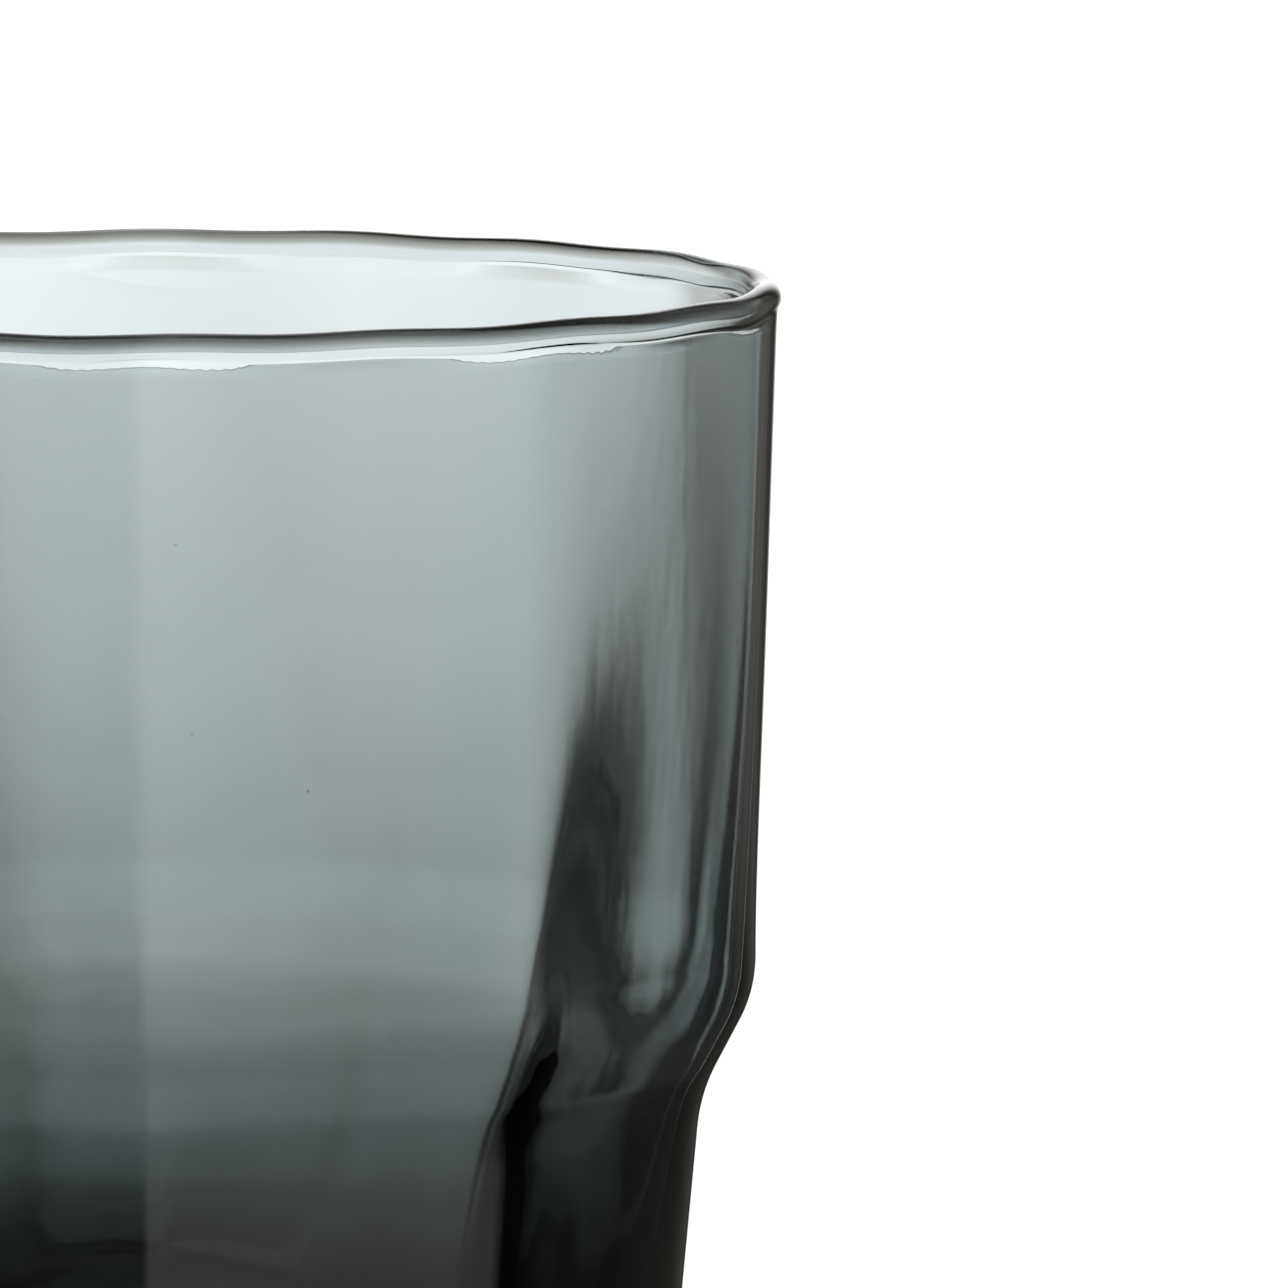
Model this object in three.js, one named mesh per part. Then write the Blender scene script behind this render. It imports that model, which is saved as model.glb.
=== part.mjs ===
// Whiskey tumbler: one piece of moulded smoke-grey glass that stands by itself and stacks in its own kind.
// Millimetres, +Z up. The origin is the centre of the face it stands on, and one ridge points along -Y.
//
// The wall is a single closed surface. Its outline runs from the middle of the underside out to the foot,
// up the narrow lower body, over the shoulder, up the wide upper body, round the fire-polished rim bead
// and back down the inside to the middle of the floor. Turned about Z, every ring of it lies between a
// circle and a polygon with rounded ridges.

import * as THREE from "three";

// Driving dimensions
const HEIGHT = 90;
const RIM_DIAMETER = 85.9;
const BEAD_RADIUS = 1.1;
const MIDDLE_HEIGHT = 58.9;
const SHOULDER_TOP = 41.6;
const SHOULDER_BOTTOM = 34.3;
const FLOOR_HEIGHT = 11;
const PUNT_DEPTH = 1.5;
const PANELS = 9;

// Outside radii that the ridges would reach if they were sharp
const UPPER_TOP_RADIUS = 43.52;
const UPPER_MIDDLE_RADIUS = 43.18;
const UPPER_BOTTOM_RADIUS = 42.37;
const LOWER_TOP_RADIUS = 38.23;
const HEEL_RADIUS = 34.6;
const FOOT_INNER_RADIUS = 22.5;

// Reach of the roundings at the shoulder
const SHOULDER_ROUND = 2.4;
const BORE_SHOULDER_ROUND = 1.9;

// Thickness of the wall behind the ridges, where it is thinnest
const TOP_WALL = 1.76;
const MIDDLE_WALL = 2.27;
const SHOULDER_WALL = 2.95;
const WAIST_WALL = 3.32;
const FLOOR_WALL = 7;

// How much thicker the wall swells in the middle of a panel
const TOP_SWELL = 0.02;
const MIDDLE_SWELL = 0.19;
const SHOULDER_SWELL = 0.14;
const WAIST_SWELL = 0.1;
const FLOOR_SWELL = -1;

// How far the panels are pressed flat: 0 is a round ring, 1 is a ring of flat panels
const BEAD_FLAT = 0.12;
const TOP_FLAT = 0.56;
const MIDDLE_FLAT = 0.93;
const SHOULDER_FLAT = 1.2;
const LOWER_FLAT = 0.92;
const HEEL_FLAT = 0.5;

// Sharpness of the ridges: 1 is a sharp edge
const UPPER_SHARP = 0.86;
const LOWER_SHARP = 0.97;
const BORE_UPPER_SHARP = 0.926;
const BORE_LOWER_SHARP = 0.978;

// Fineness of the solid
const COLUMNS = 8 * PANELS;
const CURVE_STEPS = 4;
const BEAD_STEPS = 10;

const BEAD_CENTRE_RADIUS = RIM_DIAMETER / 2 - BEAD_RADIUS;
const BEAD_CENTRE_HEIGHT = HEIGHT - BEAD_RADIUS;
const BEAD_BASE = HEIGHT - 1.9;

// The corners of the outline, and how far the rounding of each one reaches. The wall and its swell are
// what lies between the outside and the bore, so they are 0 outside.
const SOLID = { wall: 0, swell: 0 };
const SHARP = { sharp: LOWER_SHARP, ...SOLID };
const SOFT = { sharp: UPPER_SHARP, ...SOLID };
const OUTSIDE = [
  { r: 0, z: PUNT_DEPTH, flat: 0, ...SHARP, round: 0 },
  { r: FOOT_INNER_RADIUS - 3, z: PUNT_DEPTH, flat: 0, ...SHARP, round: 2 },
  { r: FOOT_INNER_RADIUS, z: 0, flat: 0, ...SHARP, round: 0.8 },
  { r: HEEL_RADIUS, z: 0, flat: HEEL_FLAT, ...SHARP, round: 4 },
  { r: LOWER_TOP_RADIUS, z: SHOULDER_BOTTOM, flat: LOWER_FLAT, ...SHARP, round: SHOULDER_ROUND },
  { r: UPPER_BOTTOM_RADIUS, z: SHOULDER_TOP, flat: SHOULDER_FLAT, ...SHARP, round: SHOULDER_ROUND },
  { r: UPPER_MIDDLE_RADIUS, z: MIDDLE_HEIGHT, flat: MIDDLE_FLAT, ...SOFT, round: 10 },
  { r: UPPER_TOP_RADIUS, z: BEAD_BASE, flat: TOP_FLAT, ...SOFT, round: 0 },
];

const TOP_BORE = { flat: TOP_FLAT, sharp: BORE_UPPER_SHARP, wall: TOP_WALL, swell: TOP_SWELL };
const MIDDLE_BORE = { flat: MIDDLE_FLAT, sharp: BORE_UPPER_SHARP, wall: MIDDLE_WALL, swell: MIDDLE_SWELL };
const WIDE_BORE = { flat: SHOULDER_FLAT, sharp: BORE_LOWER_SHARP, wall: SHOULDER_WALL, swell: SHOULDER_SWELL };
const WAIST_BORE = { flat: LOWER_FLAT, sharp: BORE_LOWER_SHARP, wall: WAIST_WALL, swell: WAIST_SWELL };
const FLOOR_BORE = { flat: LOWER_FLAT, sharp: BORE_LOWER_SHARP, wall: FLOOR_WALL, swell: FLOOR_SWELL };
const INSIDE = [
  { r: UPPER_TOP_RADIUS, z: BEAD_BASE, ...TOP_BORE, round: 0 },
  { r: UPPER_MIDDLE_RADIUS, z: MIDDLE_HEIGHT, ...MIDDLE_BORE, round: 10 },
  { r: UPPER_BOTTOM_RADIUS, z: SHOULDER_TOP, ...WIDE_BORE, round: BORE_SHOULDER_ROUND },
  { r: LOWER_TOP_RADIUS, z: SHOULDER_BOTTOM, ...WAIST_BORE, round: BORE_SHOULDER_ROUND },
  { r: HEEL_RADIUS, z: FLOOR_HEIGHT, ...FLOOR_BORE, round: 11 },
  { r: 0, z: FLOOR_HEIGHT, flat: 0, sharp: BORE_LOWER_SHARP, ...SOLID, round: 0 },
];

/** The point a fraction t of the way from corner a to corner b. */
function between(a, b, t) {
  const keys = ["r", "z", "flat", "sharp", "wall", "swell"];
  return Object.fromEntries(keys.map((key) => [key, a[key] + (b[key] - a[key]) * t]));
}

/** The outline through the corners. Each one gives way to a curve that starts and ends `round` from it. */
function roundedOutline(corners) {
  const points = [];
  corners.forEach((corner, i) => {
    if (corner.round === 0) {
      points.push(corner);
      return;
    }
    const [start, end] = [corners[i - 1], corners[i + 1]].map((other) => {
      const distance = Math.hypot(corner.r - other.r, corner.z - other.z);
      return between(corner, other, corner.round / distance);
    });
    for (let step = 0; step <= CURVE_STEPS; step += 1) {
      const t = step / CURVE_STEPS;
      points.push(between(between(start, corner, t), between(corner, end, t), t));
    }
  });
  return points;
}

/** The rim bead: an arc from just above the outer wall's top, over the rim, to just above the bore's top. */
function beadArc() {
  const start = -Math.PI / 6;
  const sweep = Math.PI - 2 * start;
  return Array.from({ length: BEAD_STEPS + 1 }, (_, step) => {
    const angle = start + (sweep * step) / BEAD_STEPS;
    return {
      r: BEAD_CENTRE_RADIUS + BEAD_RADIUS * Math.cos(angle),
      z: BEAD_CENTRE_HEIGHT + BEAD_RADIUS * Math.sin(angle),
      flat: BEAD_FLAT,
      ...SOFT,
    };
  });
}

/** How far out a flat-panelled ring of unit radius reaches at an angle, with its ridges rounded off. */
function panelReach(angle, sharp) {
  const nearness = sharp * Math.abs(Math.cos((PANELS * angle) / 2));
  return Math.cos(Math.PI / PANELS) / Math.cos((2 / PANELS) * Math.asin(nearness));
}

/** How far out a ring of the wall reaches at an angle. */
function ringRadius({ r, flat, sharp, wall, swell }, angle) {
  const panelled = r * (1 - flat + flat * panelReach(angle, sharp));
  return panelled - wall - (swell * (1 - Math.cos(PANELS * angle))) / 2;
}

/** The closed surface that the outline sweeps round Z. Its first and last points are on the axis. */
function sweptSolid(outline) {
  const rings = outline.slice(1, -1);
  const positions = [];
  rings.forEach((ring) => {
    for (let column = 0; column < COLUMNS; column += 1) {
      const angle = (2 * Math.PI * column) / COLUMNS;
      const radius = ringRadius(ring, angle);
      positions.push(radius * Math.sin(angle), -radius * Math.cos(angle), ring.z);
    }
  });
  const bottomPole = positions.length / 3;
  positions.push(0, 0, outline[0].z);
  const floorPole = bottomPole + 1;
  positions.push(0, 0, outline[outline.length - 1].z);

  const triangles = [];
  for (let column = 0; column < COLUMNS; column += 1) {
    const next = (column + 1) % COLUMNS;
    triangles.push(bottomPole, next, column);
    for (let ring = 0; ring < rings.length - 1; ring += 1) {
      const low = ring * COLUMNS;
      const high = low + COLUMNS;
      triangles.push(low + column, low + next, high + next);
      triangles.push(low + column, high + next, high + column);
    }
    const last = (rings.length - 1) * COLUMNS;
    triangles.push(last + column, last + next, floorPole);
  }

  const geometry = new THREE.BufferGeometry();
  geometry.setAttribute("position", new THREE.Float32BufferAttribute(positions, 3));
  geometry.setIndex(triangles);
  geometry.computeVertexNormals();
  return geometry;
}

const smokeGlass = new THREE.MeshStandardMaterial({
  color: 0x6f7876,
  roughness: 0.04,
  metalness: 0,
  transparent: true,
  opacity: 0.5,
});

const outline = [...roundedOutline(OUTSIDE), ...beadArc(), ...roundedOutline(INSIDE)];
const glass = new THREE.Mesh(sweptSolid(outline), smokeGlass);
glass.name = "tumbler_glass";

const tumbler = new THREE.Group();
tumbler.add(glass);

export default tumbler;
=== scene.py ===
"""Whiskey tumbler: one piece of moulded smoke-grey glass, panelled, stepped and fire-polished at the rim."""
import math

import bpy
import numpy as np
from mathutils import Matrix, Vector


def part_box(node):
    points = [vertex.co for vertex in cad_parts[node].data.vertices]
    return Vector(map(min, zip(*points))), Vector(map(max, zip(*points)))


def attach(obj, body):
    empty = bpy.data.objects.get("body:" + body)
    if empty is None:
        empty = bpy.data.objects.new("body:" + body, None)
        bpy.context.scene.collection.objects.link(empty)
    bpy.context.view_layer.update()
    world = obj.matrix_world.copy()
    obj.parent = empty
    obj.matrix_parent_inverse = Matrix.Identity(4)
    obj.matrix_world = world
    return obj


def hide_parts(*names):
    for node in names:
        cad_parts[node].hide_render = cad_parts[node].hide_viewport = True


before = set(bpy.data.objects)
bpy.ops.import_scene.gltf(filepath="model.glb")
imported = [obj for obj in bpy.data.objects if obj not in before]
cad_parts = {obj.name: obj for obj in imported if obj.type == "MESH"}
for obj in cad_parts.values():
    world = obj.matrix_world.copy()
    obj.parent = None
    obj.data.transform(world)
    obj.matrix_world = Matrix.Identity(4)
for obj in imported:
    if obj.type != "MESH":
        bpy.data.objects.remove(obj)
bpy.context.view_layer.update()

MM = 0.001

# Driving sizes, in millimetres, from the frame and from the mould
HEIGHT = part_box("tumbler_glass")[1][2] / MM
RIM_RADIUS = 42.94
BEAD_RADIUS = 1.1
BEAD_DROP = 1.9
MIDDLE_HEIGHT = 58.9
SHOULDER_TOP = 41.6
SHOULDER_BOTTOM = 34.3
FLOOR_HEIGHT = 11.0
PUNT_DEPTH = 1.5
PUNT_SLOPE = 3.0
PANELS = 9

# Outside radii that the ridges would reach if they were sharp
UPPER_TOP_RADIUS = 43.52
UPPER_MIDDLE_RADIUS = 43.18
UPPER_BOTTOM_RADIUS = 42.37
LOWER_TOP_RADIUS = 38.23
HEEL_RADIUS = 34.6
FOOT_INNER_RADIUS = 22.5

# Reach of the roundings, from a corner of the outline to where its curve starts
PUNT_ROUND = 2.0
FOOT_ROUND = 0.8
HEEL_ROUND = 4.0
SHOULDER_ROUND = 2.4
BORE_SHOULDER_ROUND = 1.9
MIDDLE_ROUND = 10.0
FLOOR_ROUND = 11.0

# Thickness of the wall at the ridges, before the bore's sharper ridges thin it there
TOP_WALL = 1.76
MIDDLE_WALL = 2.27
SHOULDER_WALL = 2.95
WAIST_WALL = 3.32
FLOOR_WALL = 7.0

# How much thicker the wall is in the middle of a panel, or thinner where the value is negative
TOP_SWELL = 0.02
MIDDLE_SWELL = 0.19
SHOULDER_SWELL = 0.14
WAIST_SWELL = 0.1
FLOOR_SWELL = -1.0

# Flatness of the panels: 0 is a round ring, 1 a ring of flat panels, and more makes them slightly hollow
BEAD_FLAT = 0.12
TOP_FLAT = 0.56
MIDDLE_FLAT = 0.93
SHOULDER_FLAT = 1.2
LOWER_FLAT = 0.92
HEEL_FLAT = 0.5

# Sharpness of the ridges: 1 is a sharp edge
UPPER_SHARP = 0.86
LOWER_SHARP = 0.97
BORE_UPPER_SHARP = 0.926
BORE_LOWER_SHARP = 0.978

# Fineness of the surface
COLUMNS = 32 * PANELS
CURVE_STEPS = 10
STRETCH_STEPS = 18
BEAD_STEPS = 24

# Undulation of the fire-polished rim: waves round the rim, depth in millimetres, turn in degrees
RIM_WAVES = ((2 * PANELS, 0.075, 2.8), (PANELS, 0.02, 10.0), (5, 0.02, 40.0))

# Where the undulation dies out: its depth below the rim, and the height over which it grows to full
WAVE_END = 6.0
WAVE_GROWTH = 4.0

BEAD_CENTRE_RADIUS = RIM_RADIUS - BEAD_RADIUS
BEAD_CENTRE_HEIGHT = HEIGHT - BEAD_RADIUS
BEAD_BASE = HEIGHT - BEAD_DROP
BEAD_START = -math.pi / 6
PUNT_RADIUS = FOOT_INNER_RADIUS - PUNT_SLOPE

# Corners of the outside: radius, height, flatness, sharpness, reach of the rounding
OUTSIDE = (
    (0.0, PUNT_DEPTH, 0.0, LOWER_SHARP, 0.0),
    (PUNT_RADIUS, PUNT_DEPTH, 0.0, LOWER_SHARP, PUNT_ROUND),
    (FOOT_INNER_RADIUS, 0.0, 0.0, LOWER_SHARP, FOOT_ROUND),
    (HEEL_RADIUS, 0.0, HEEL_FLAT, LOWER_SHARP, HEEL_ROUND),
    (LOWER_TOP_RADIUS, SHOULDER_BOTTOM, LOWER_FLAT, LOWER_SHARP, SHOULDER_ROUND),
    (UPPER_BOTTOM_RADIUS, SHOULDER_TOP, SHOULDER_FLAT, LOWER_SHARP, SHOULDER_ROUND),
    (UPPER_MIDDLE_RADIUS, MIDDLE_HEIGHT, MIDDLE_FLAT, UPPER_SHARP, MIDDLE_ROUND),
    (UPPER_TOP_RADIUS, BEAD_BASE, TOP_FLAT, UPPER_SHARP, 0.0),
)

# Corners of the bore, as the outside's, and then the wall and its swell
BORE = (
    (UPPER_TOP_RADIUS, BEAD_BASE, TOP_FLAT, BORE_UPPER_SHARP, 0.0, TOP_WALL, TOP_SWELL),
    (
        UPPER_MIDDLE_RADIUS, MIDDLE_HEIGHT, MIDDLE_FLAT, BORE_UPPER_SHARP, MIDDLE_ROUND,
        MIDDLE_WALL, MIDDLE_SWELL,
    ),
    (
        UPPER_BOTTOM_RADIUS, SHOULDER_TOP, SHOULDER_FLAT, BORE_LOWER_SHARP, BORE_SHOULDER_ROUND,
        SHOULDER_WALL, SHOULDER_SWELL,
    ),
    (
        LOWER_TOP_RADIUS, SHOULDER_BOTTOM, LOWER_FLAT, BORE_LOWER_SHARP, BORE_SHOULDER_ROUND,
        WAIST_WALL, WAIST_SWELL,
    ),
    (HEEL_RADIUS, FLOOR_HEIGHT, LOWER_FLAT, BORE_LOWER_SHARP, FLOOR_ROUND, FLOOR_WALL, FLOOR_SWELL),
    (0.0, FLOOR_HEIGHT, 0.0, BORE_LOWER_SHARP, 0.0, 0.0, 0.0),
)


# ---- Shape ----

def between(a, b, t):
    """The points a share t of the way from a to b, for one share or a column of them."""
    return a + (b - a) * t


def rounded_outline(corners, reaches):
    """The outline through the corners, with a corner's values in each row. A corner gives way to the
    quadratic curve that starts and ends its rounding's reach away from it, and the straight stretches
    between are split evenly."""
    ends = []
    for here, before, after, reach in zip(corners[1:-1], corners[:-2], corners[2:], reaches[1:-1]):
        start = between(here, before, reach / math.dist(here[:2], before[:2]))
        end = between(here, after, reach / math.dist(here[:2], after[:2]))
        ends.append((start, here, end))
    steps = np.linspace(0.0, 1.0, CURVE_STEPS + 1)[:, None]
    stretch = np.linspace(0.0, 1.0, STRETCH_STEPS, endpoint=False)[1:, None]
    rows = [corners[:1]]
    last = corners[0]
    for start, here, end in ends:
        rows.append(between(last, start, stretch))
        rows.append(between(between(start, here, steps), between(here, end, steps), steps))
        last = end
    rows.append(between(last, corners[-1], stretch))
    rows.append(corners[-1:])
    return np.vstack(rows)


def outside_outline():
    """The outline of the outside, from the middle of the underside to the rim bead, with no wall or swell."""
    spots = np.array(OUTSIDE)
    no_wall = np.zeros((len(spots), 2))
    return rounded_outline(np.hstack((spots[:, :4], no_wall)), spots[:, 4])


def bore_outline():
    """The outline of the bore, from the rim bead to the middle of the floor."""
    spots = np.array(BORE)
    return rounded_outline(np.hstack((spots[:, :4], spots[:, 5:])), spots[:, 4])


def bead_outline():
    """The rim bead: an arc of one radius from just above the outer wall, over the rim, to the bore."""
    angle = np.linspace(BEAD_START, math.pi - BEAD_START, BEAD_STEPS + 1)
    radius = BEAD_CENTRE_RADIUS + BEAD_RADIUS * np.cos(angle)
    height = BEAD_CENTRE_HEIGHT + BEAD_RADIUS * np.sin(angle)
    flat, sharp, none = (np.full_like(angle, value) for value in (BEAD_FLAT, UPPER_SHARP, 0.0))
    return np.column_stack((radius, height, flat, sharp, none, none))


def panel_reach(angle, sharp):
    """How far out a flat-panelled ring of unit radius reaches: the panel's distance over the cosine of the
    angle from its middle, with that angle held back near the ridges so that they come out rounded."""
    nearness = sharp * np.abs(np.cos(PANELS * angle / 2))
    return math.cos(math.pi / PANELS) / np.cos(2 / PANELS * np.arcsin(nearness))


def rim_drop(angle):
    """How far the rim lies under its highest level, in millimetres: a sum of cosine waves round the rim."""
    drop = np.zeros_like(angle)
    for waves, depth, turn in RIM_WAVES:
        drop = drop + depth * (1 - np.cos(waves * (angle - math.radians(turn))))
    return drop


def tumbler_grid():
    """Rings of points from the middle of the underside to the middle of the floor. A ring's radius is the
    outline's, drawn in towards the panelled ring by its flatness, less the wall and its swell, and the
    top few millimetres follow the rim's undulation."""
    outline = np.vstack((outside_outline(), bead_outline(), bore_outline()))
    angle = np.linspace(0.0, 2 * math.pi, COLUMNS, endpoint=False)[None, :]
    radius, height, flat, sharp, wall, swell = (outline[:, k:k + 1] for k in range(6))
    panelled = radius * (1 - flat + flat * panel_reach(angle, sharp))
    ring_radius = panelled - wall - swell * (1 - np.cos(PANELS * angle)) / 2
    near_rim = np.clip((height - (HEIGHT - WAVE_END)) / WAVE_GROWTH, 0.0, 1.0)
    ring_height = height - near_rim * rim_drop(angle)
    x = ring_radius * np.sin(angle)
    y = -ring_radius * np.cos(angle)
    return np.stack((x, y, np.broadcast_to(ring_height, x.shape)), axis=-1) * MM


def closed_mesh(name, grid):
    """A closed mesh from rings of points whose first and last rings have shrunk to a point on the axis."""
    rings, columns = grid.shape[0] - 2, grid.shape[1]
    points = np.vstack((grid[1:-1].reshape(-1, 3), grid[0, :1], grid[-1, :1]))
    low = np.arange(rings - 1)[:, None] * columns
    column = np.arange(columns)[None, :]
    after = (column + 1) % columns
    quads = np.stack((low + column, low + after, low + columns + after, low + columns + column), axis=-1)
    first, last = rings * columns, rings * columns + 1
    top = (rings - 1) * columns
    column, after = column[0], after[0]
    start_fan = np.column_stack((np.full(columns, first), after, column))
    end_fan = np.column_stack((top + column, top + after, np.full(columns, last)))
    faces = quads.reshape(-1, 4).tolist() + start_fan.tolist() + end_fan.tolist()
    mesh = bpy.data.meshes.new(name)
    mesh.from_pydata(points.tolist(), [], faces)
    mesh.shade_smooth()
    piece = bpy.data.objects.new(name, mesh)
    bpy.context.scene.collection.objects.link(piece)
    return piece


# ---- Nodes that the finish and the studio share ----

WHITE = (1.0, 1.0, 1.0, 1.0)


def feed(links, value, socket):
    """Sets a plain number or colour on a socket, or links another node's result to it."""
    if isinstance(value, bpy.types.NodeSocket):
        links.new(value, socket)
    else:
        socket.default_value = value


def mixed(nodes, links, kind, share, first, second):
    """Two colours or two numbers run into each other: the first at share 0 and the second at share 1."""
    mix = nodes.new("ShaderNodeMix")
    mix.data_type = kind
    feed(links, share, mix.inputs["Factor"])
    feed(links, first, mix.inputs["A"])
    feed(links, second, mix.inputs["B"])
    return mix.outputs["Result"]


def ranged(nodes, links, value, start, end):
    """A value taken from one range to another, and held at its ends. Start and end are pairs: from, to."""
    share = nodes.new("ShaderNodeMapRange")
    share.inputs["From Min"].default_value, share.inputs["To Min"].default_value = start
    share.inputs["From Max"].default_value, share.inputs["To Max"].default_value = end
    links.new(value, share.inputs["Value"])
    return share.outputs["Result"]


# ---- Finish ----

# Grey of the glass, which sinks in with depth, how fast it does, and how much the glass bends light
GLASS_GREY = (0.435, 0.495, 0.508, 1.0)
GLASS_DENSITY = 480.0
GLASS_IOR = 1.5

# Colours of the surface in the streaks and in the seeds
STREAKED = (0.975, 0.98, 0.98, 1.0)
SEEDED = (0.3, 0.32, 0.31, 1.0)

# Patterns of the surface: steps a metre along each axis, and the noise levels between which each sets in
STREAK_STEPS = (90.0, 90.0, 12.0)
STREAK_RANGE = (0.35, 0.65)
SMUDGE_STEPS = (60.0, 60.0, 45.0)
SMUDGE_RANGE = (0.5, 0.75)
SMUDGE_ROUGHNESS = 0.02
RIPPLE_STEPS = (220.0, 220.0, 60.0)
RIPPLE_DEPTH = 0.01

# How much fine noise each pattern has on top of its broad noise
NOISE_DETAIL = 2.0
SOFT_GRAIN = 0.5
SMUDGE_GRAIN = 0.7

# Seeds: steps a metre, radius in millimetres, and the share of the radius that is fully dark
SEED_STEPS = 150.0
SEED_RADIUS = 0.13
SEED_CORE = 0.6


def placed(nodes, links, stretch):
    """The place on the glass, with each axis stretched to so many pattern steps a metre."""
    place = nodes.new("ShaderNodeTexCoord")
    mapping = nodes.new("ShaderNodeMapping")
    mapping.inputs["Scale"].default_value = stretch
    links.new(place.outputs["Object"], mapping.inputs["Vector"])
    return mapping.outputs["Vector"]


def clouds(nodes, links, stretch, grain=SOFT_GRAIN):
    """Soft noise from 0 to 1, stretched as given."""
    noise = nodes.new("ShaderNodeTexNoise")
    noise.inputs["Scale"].default_value = 1.0
    noise.inputs["Detail"].default_value = NOISE_DETAIL
    noise.inputs["Roughness"].default_value = grain
    links.new(placed(nodes, links, stretch), noise.inputs["Vector"])
    return noise.outputs["Fac"]


def seeds(nodes, links):
    """A mask of the tiny seeds that the melt leaves: 1 inside a seed that reaches the surface."""
    cells = nodes.new("ShaderNodeTexVoronoi")
    cells.inputs["Scale"].default_value = 1.0
    links.new(placed(nodes, links, (SEED_STEPS, SEED_STEPS, SEED_STEPS)), cells.inputs["Vector"])
    radius = SEED_RADIUS * MM * SEED_STEPS
    return ranged(nodes, links, cells.outputs["Distance"], (SEED_CORE * radius, 1.0), (radius, 0.0))


def surface_colour(nodes, links):
    """Clear glass with upright streaks of slightly denser grey and a few tiny seeds."""
    low, high = STREAK_RANGE
    streaks = ranged(nodes, links, clouds(nodes, links, STREAK_STEPS), (low, 0.0), (high, 1.0))
    streaked = mixed(nodes, links, "RGBA", streaks, WHITE, STREAKED)
    return mixed(nodes, links, "RGBA", seeds(nodes, links), streaked, SEEDED)


def smudges(nodes, links):
    """Roughness of the surface: none, but for soft smudges from handling."""
    low, high = SMUDGE_RANGE
    noise = clouds(nodes, links, SMUDGE_STEPS, SMUDGE_GRAIN)
    return ranged(nodes, links, noise, (low, 0.0), (high, SMUDGE_ROUGHNESS))


def mould_ripple(nodes, links):
    """The surface's lean from a mould's faint ripple."""
    ripple = nodes.new("ShaderNodeBump")
    ripple.inputs["Strength"].default_value = 1.0
    ripple.inputs["Distance"].default_value = RIPPLE_DEPTH * MM
    links.new(clouds(nodes, links, RIPPLE_STEPS), ripple.inputs["Height"])
    return ripple.outputs["Normal"]


def smoke_glass():
    """Clear smoke-grey glass: the grey is in its depth, so thin walls are pale and thick ones dark."""
    material = bpy.data.materials.new("smoke_glass")
    material.use_nodes = True
    nodes, links = material.node_tree.nodes, material.node_tree.links
    shader = nodes["Principled BSDF"]
    shader.inputs["IOR"].default_value = GLASS_IOR
    shader.inputs["Transmission Weight"].default_value = 1.0
    links.new(surface_colour(nodes, links), shader.inputs["Base Color"])
    links.new(smudges(nodes, links), shader.inputs["Roughness"])
    links.new(mould_ripple(nodes, links), shader.inputs["Normal"])
    depth = nodes.new("ShaderNodeVolumeAbsorption")
    depth.inputs["Color"].default_value = GLASS_GREY
    depth.inputs["Density"].default_value = GLASS_DENSITY
    links.new(depth.outputs["Volume"], nodes["Material Output"].inputs["Volume"])
    return material


# ---- Studio ----

# Light on the glass by turn from straight behind it, positive to the right: (degrees, level)
LIGHT_BY_TURN = (
    (-180, 0.9), (-172, 0.12), (-125, 0.12), (-110, 0.95), (-42, 0.95), (-30, 0.06), (-16, 0.03), (-13, 0.12),
    (-9, 0.5), (-5, 0.85), (-2, 1.0), (2, 1.0), (5, 0.85), (7, 0.72), (9, 0.51), (11, 0.28), (13, 0.13),
    (16, 0.03), (28, 0.14), (40, 0.13), (57, 0.06), (75, 0.03), (100, 0.04), (115, 0.85), (180, 0.9),
)

# Light on the glass by height above the horizon: (degrees, level)
LIGHT_BY_HEIGHT = (
    (-90, 0.6), (-60, 0.35), (-48, 0.2), (-30, 0.32), (-15, 0.6), (-9, 0.84), (-5, 1.0), (25, 1.0),
    (60, 0.5), (90, 0.5),
)

# Strength of the light that the glass sees where both levels are 1, and of the plain white elsewhere
LIGHT_LEVEL = 1.43
WHITE_LEVEL = 1.25

# Tints of the light that the glass sees: where it is dim, and where it is bright
WARM = (1.0, 0.96, 0.84, 1.0)
COOL = (0.98, 1.0, 1.01, 1.0)

# Half the floor's width, in metres, and its pale, dull finish
FLOOR_HALF = 0.6
FLOOR_WHITE = (0.96, 0.96, 0.96, 1.0)
FLOOR_ROUGHNESS = 0.9

# Camera: distance from what it looks at, width of the view there, and sensor width, in millimetres
CAMERA_DISTANCE = 1200.0
VIEW_WIDTH = 88.7
SENSOR_WIDTH = 36.0

# What the camera looks at, in millimetres right of the axis and below the rim, and from how far above
AIM_RIGHT = 33.2
AIM_BELOW_RIM = 25.28
ELEVATION = math.radians(6.15)


def graded(nodes, links, value, levels):
    """A value in degrees turned into the light level read off straight lines between the given pairs."""
    low, high = levels[0][0], levels[-1][0]
    share = ranged(nodes, links, value, (math.radians(low), 0.0), (math.radians(high), 1.0))
    curve = nodes.new("ShaderNodeValToRGB")
    stops = curve.color_ramp.elements
    for _ in levels[2:]:
        stops.new(0.5)
    for stop, (degrees, level) in zip(stops, levels):
        stop.position = (degrees - low) / (high - low)
        stop.color = (level, level, level, 1.0)
    links.new(share, curve.inputs["Fac"])
    return curve.outputs["Color"]


def arithmetic(nodes, links, operation, *values):
    """The result of one step of arithmetic on numbers or on other nodes' results."""
    step = nodes.new("ShaderNodeMath")
    step.operation = operation
    for value, socket in zip(values, step.inputs):
        feed(links, value, socket)
    return step.outputs["Value"]


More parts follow.
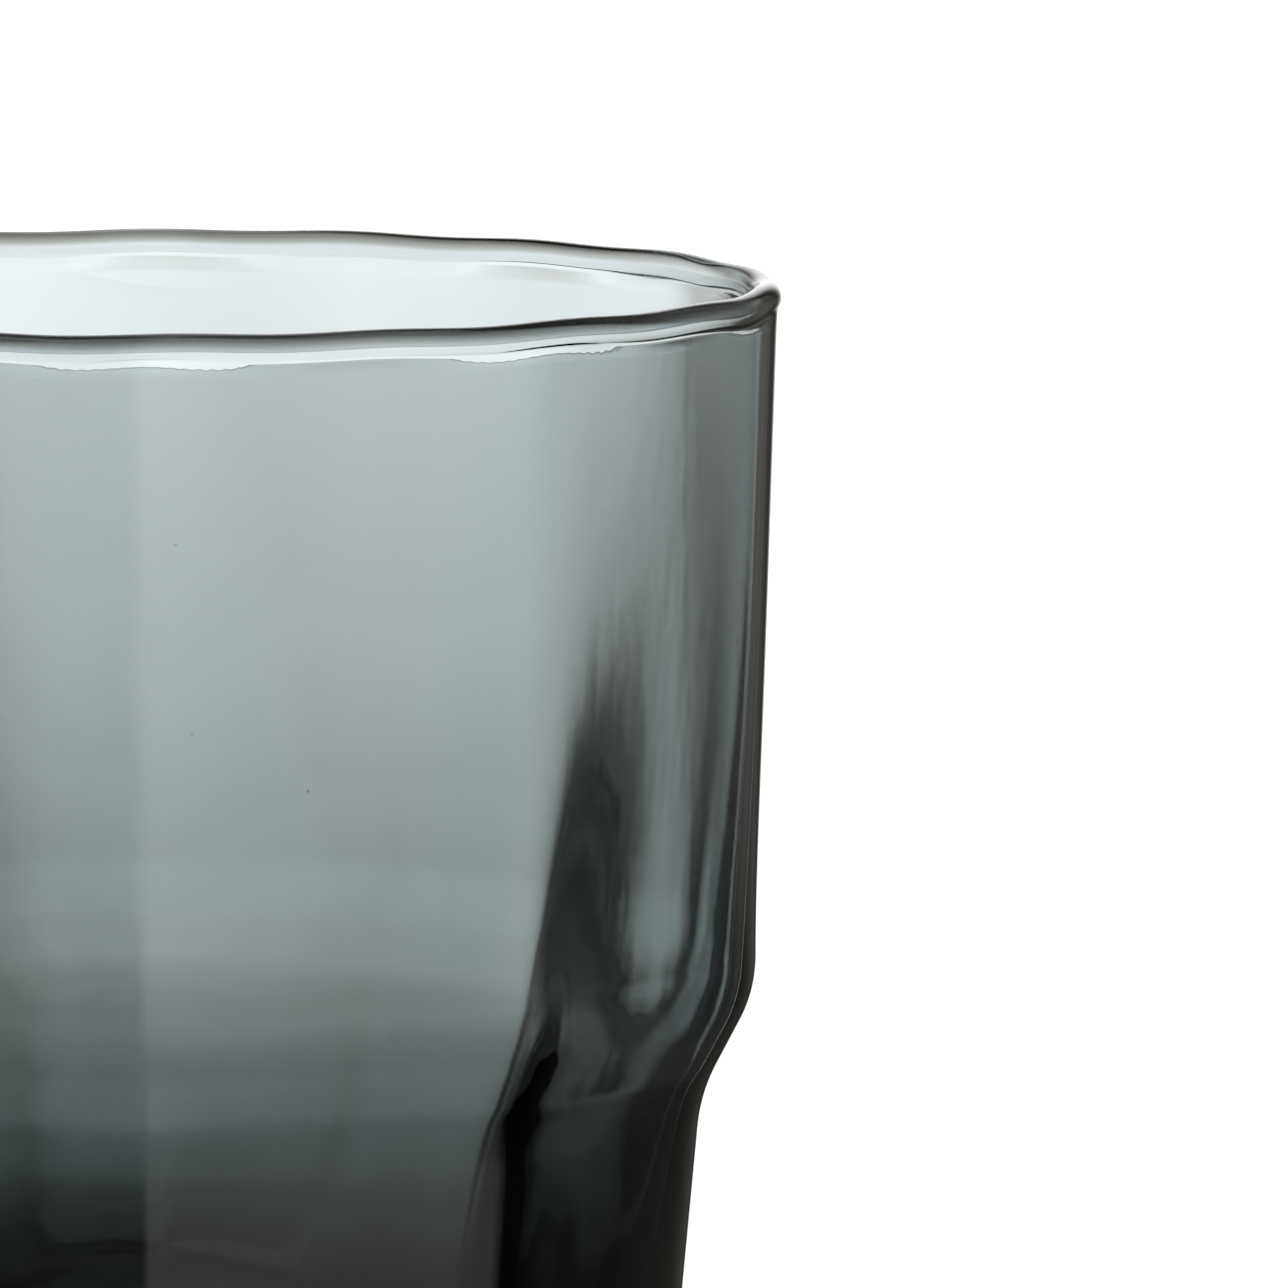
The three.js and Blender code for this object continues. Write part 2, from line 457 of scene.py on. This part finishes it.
def surround(nodes, links):
    """How bright the glass sees its surround, from 0 to 1: the level by turn times the level by height."""
    direction = nodes.new("ShaderNodeTexCoord")
    parts = nodes.new("ShaderNodeSeparateXYZ")
    links.new(direction.outputs["Generated"], parts.inputs["Vector"])
    turn = arithmetic(nodes, links, "ARCTAN2", parts.outputs["X"], parts.outputs["Y"])
    height = arithmetic(nodes, links, "ARCSINE", parts.outputs["Z"])
    by_turn = graded(nodes, links, turn, LIGHT_BY_TURN)
    by_height = graded(nodes, links, height, LIGHT_BY_HEIGHT)
    return arithmetic(nodes, links, "MULTIPLY", by_turn, by_height)


def studio_world():
    """Soft studio light: plain white to the camera and to the floor. The glass alone sees a narrow bright
    strip behind it, a broad one to its left and bright light from the front right, with dim sides between."""
    world = bpy.data.worlds.new("studio")
    world.use_nodes = True
    nodes, links = world.node_tree.nodes, world.node_tree.links
    background = nodes["Background"]
    share = surround(nodes, links)
    path = nodes.new("ShaderNodeLightPath")
    plain = arithmetic(nodes, links, "MAXIMUM", path.outputs["Is Camera Ray"], path.outputs["Is Diffuse Ray"])
    strength = arithmetic(nodes, links, "MULTIPLY", share, LIGHT_LEVEL)
    links.new(mixed(nodes, links, "FLOAT", plain, strength, WHITE_LEVEL), background.inputs["Strength"])
    tint = mixed(nodes, links, "RGBA", share, WARM, COOL)
    links.new(mixed(nodes, links, "RGBA", plain, tint, WHITE), background.inputs["Color"])
    bpy.context.scene.world = world


def floor():
    """A plain pale floor under the foot. Only the camera sees it: it doesn't show in or through the glass."""
    mesh = bpy.data.meshes.new("floor")
    half = FLOOR_HALF
    corners = [(-half, -half, 0.0), (half, -half, 0.0), (half, half, 0.0), (-half, half, 0.0)]
    mesh.from_pydata(corners, [], [(0, 1, 2, 3)])
    plane = bpy.data.objects.new("floor", mesh)
    bpy.context.scene.collection.objects.link(plane)
    material = bpy.data.materials.new("floor")
    material.use_nodes = True
    nodes, links = material.node_tree.nodes, material.node_tree.links
    shader = nodes["Principled BSDF"]
    shader.inputs["Base Color"].default_value = FLOOR_WHITE
    shader.inputs["Roughness"].default_value = FLOOR_ROUGHNESS
    shader.inputs["Specular IOR Level"].default_value = 0.0
    clear = nodes.new("ShaderNodeBsdfTransparent")
    path = nodes.new("ShaderNodeLightPath")
    mix = nodes.new("ShaderNodeMixShader")
    links.new(path.outputs["Is Camera Ray"], mix.inputs["Fac"])
    links.new(clear.outputs["BSDF"], mix.inputs[1])
    links.new(shader.outputs["BSDF"], mix.inputs[2])
    links.new(mix.outputs["Shader"], nodes["Material Output"].inputs["Surface"])
    mesh.materials.append(material)


def camera():
    """A long lens some 10 cm above the rim, looking slightly down at the glass's right side."""
    aim = Vector((AIM_RIGHT, 0.0, HEIGHT - AIM_BELOW_RIM)) * MM
    data = bpy.data.cameras.new("camera")
    data.sensor_width = SENSOR_WIDTH
    data.lens = data.sensor_width * CAMERA_DISTANCE / VIEW_WIDTH
    lens = bpy.data.objects.new("camera", data)
    back = Vector((0.0, -math.cos(ELEVATION), math.sin(ELEVATION)))
    lens.location = aim + back * CAMERA_DISTANCE * MM
    lens.rotation_mode = "QUATERNION"
    lens.rotation_quaternion = (-back).to_track_quat("-Z", "Y")
    data.clip_start, data.clip_end = 0.01, 100.0
    bpy.context.scene.collection.objects.link(lens)
    bpy.context.scene.camera = lens


glass = closed_mesh("tumbler", tumbler_grid())
glass.data.materials.append(smoke_glass())
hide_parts("tumbler_glass")
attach(glass, "root")
studio_world()
floor()
camera()
bpy.context.scene.view_settings.view_transform = "Standard"
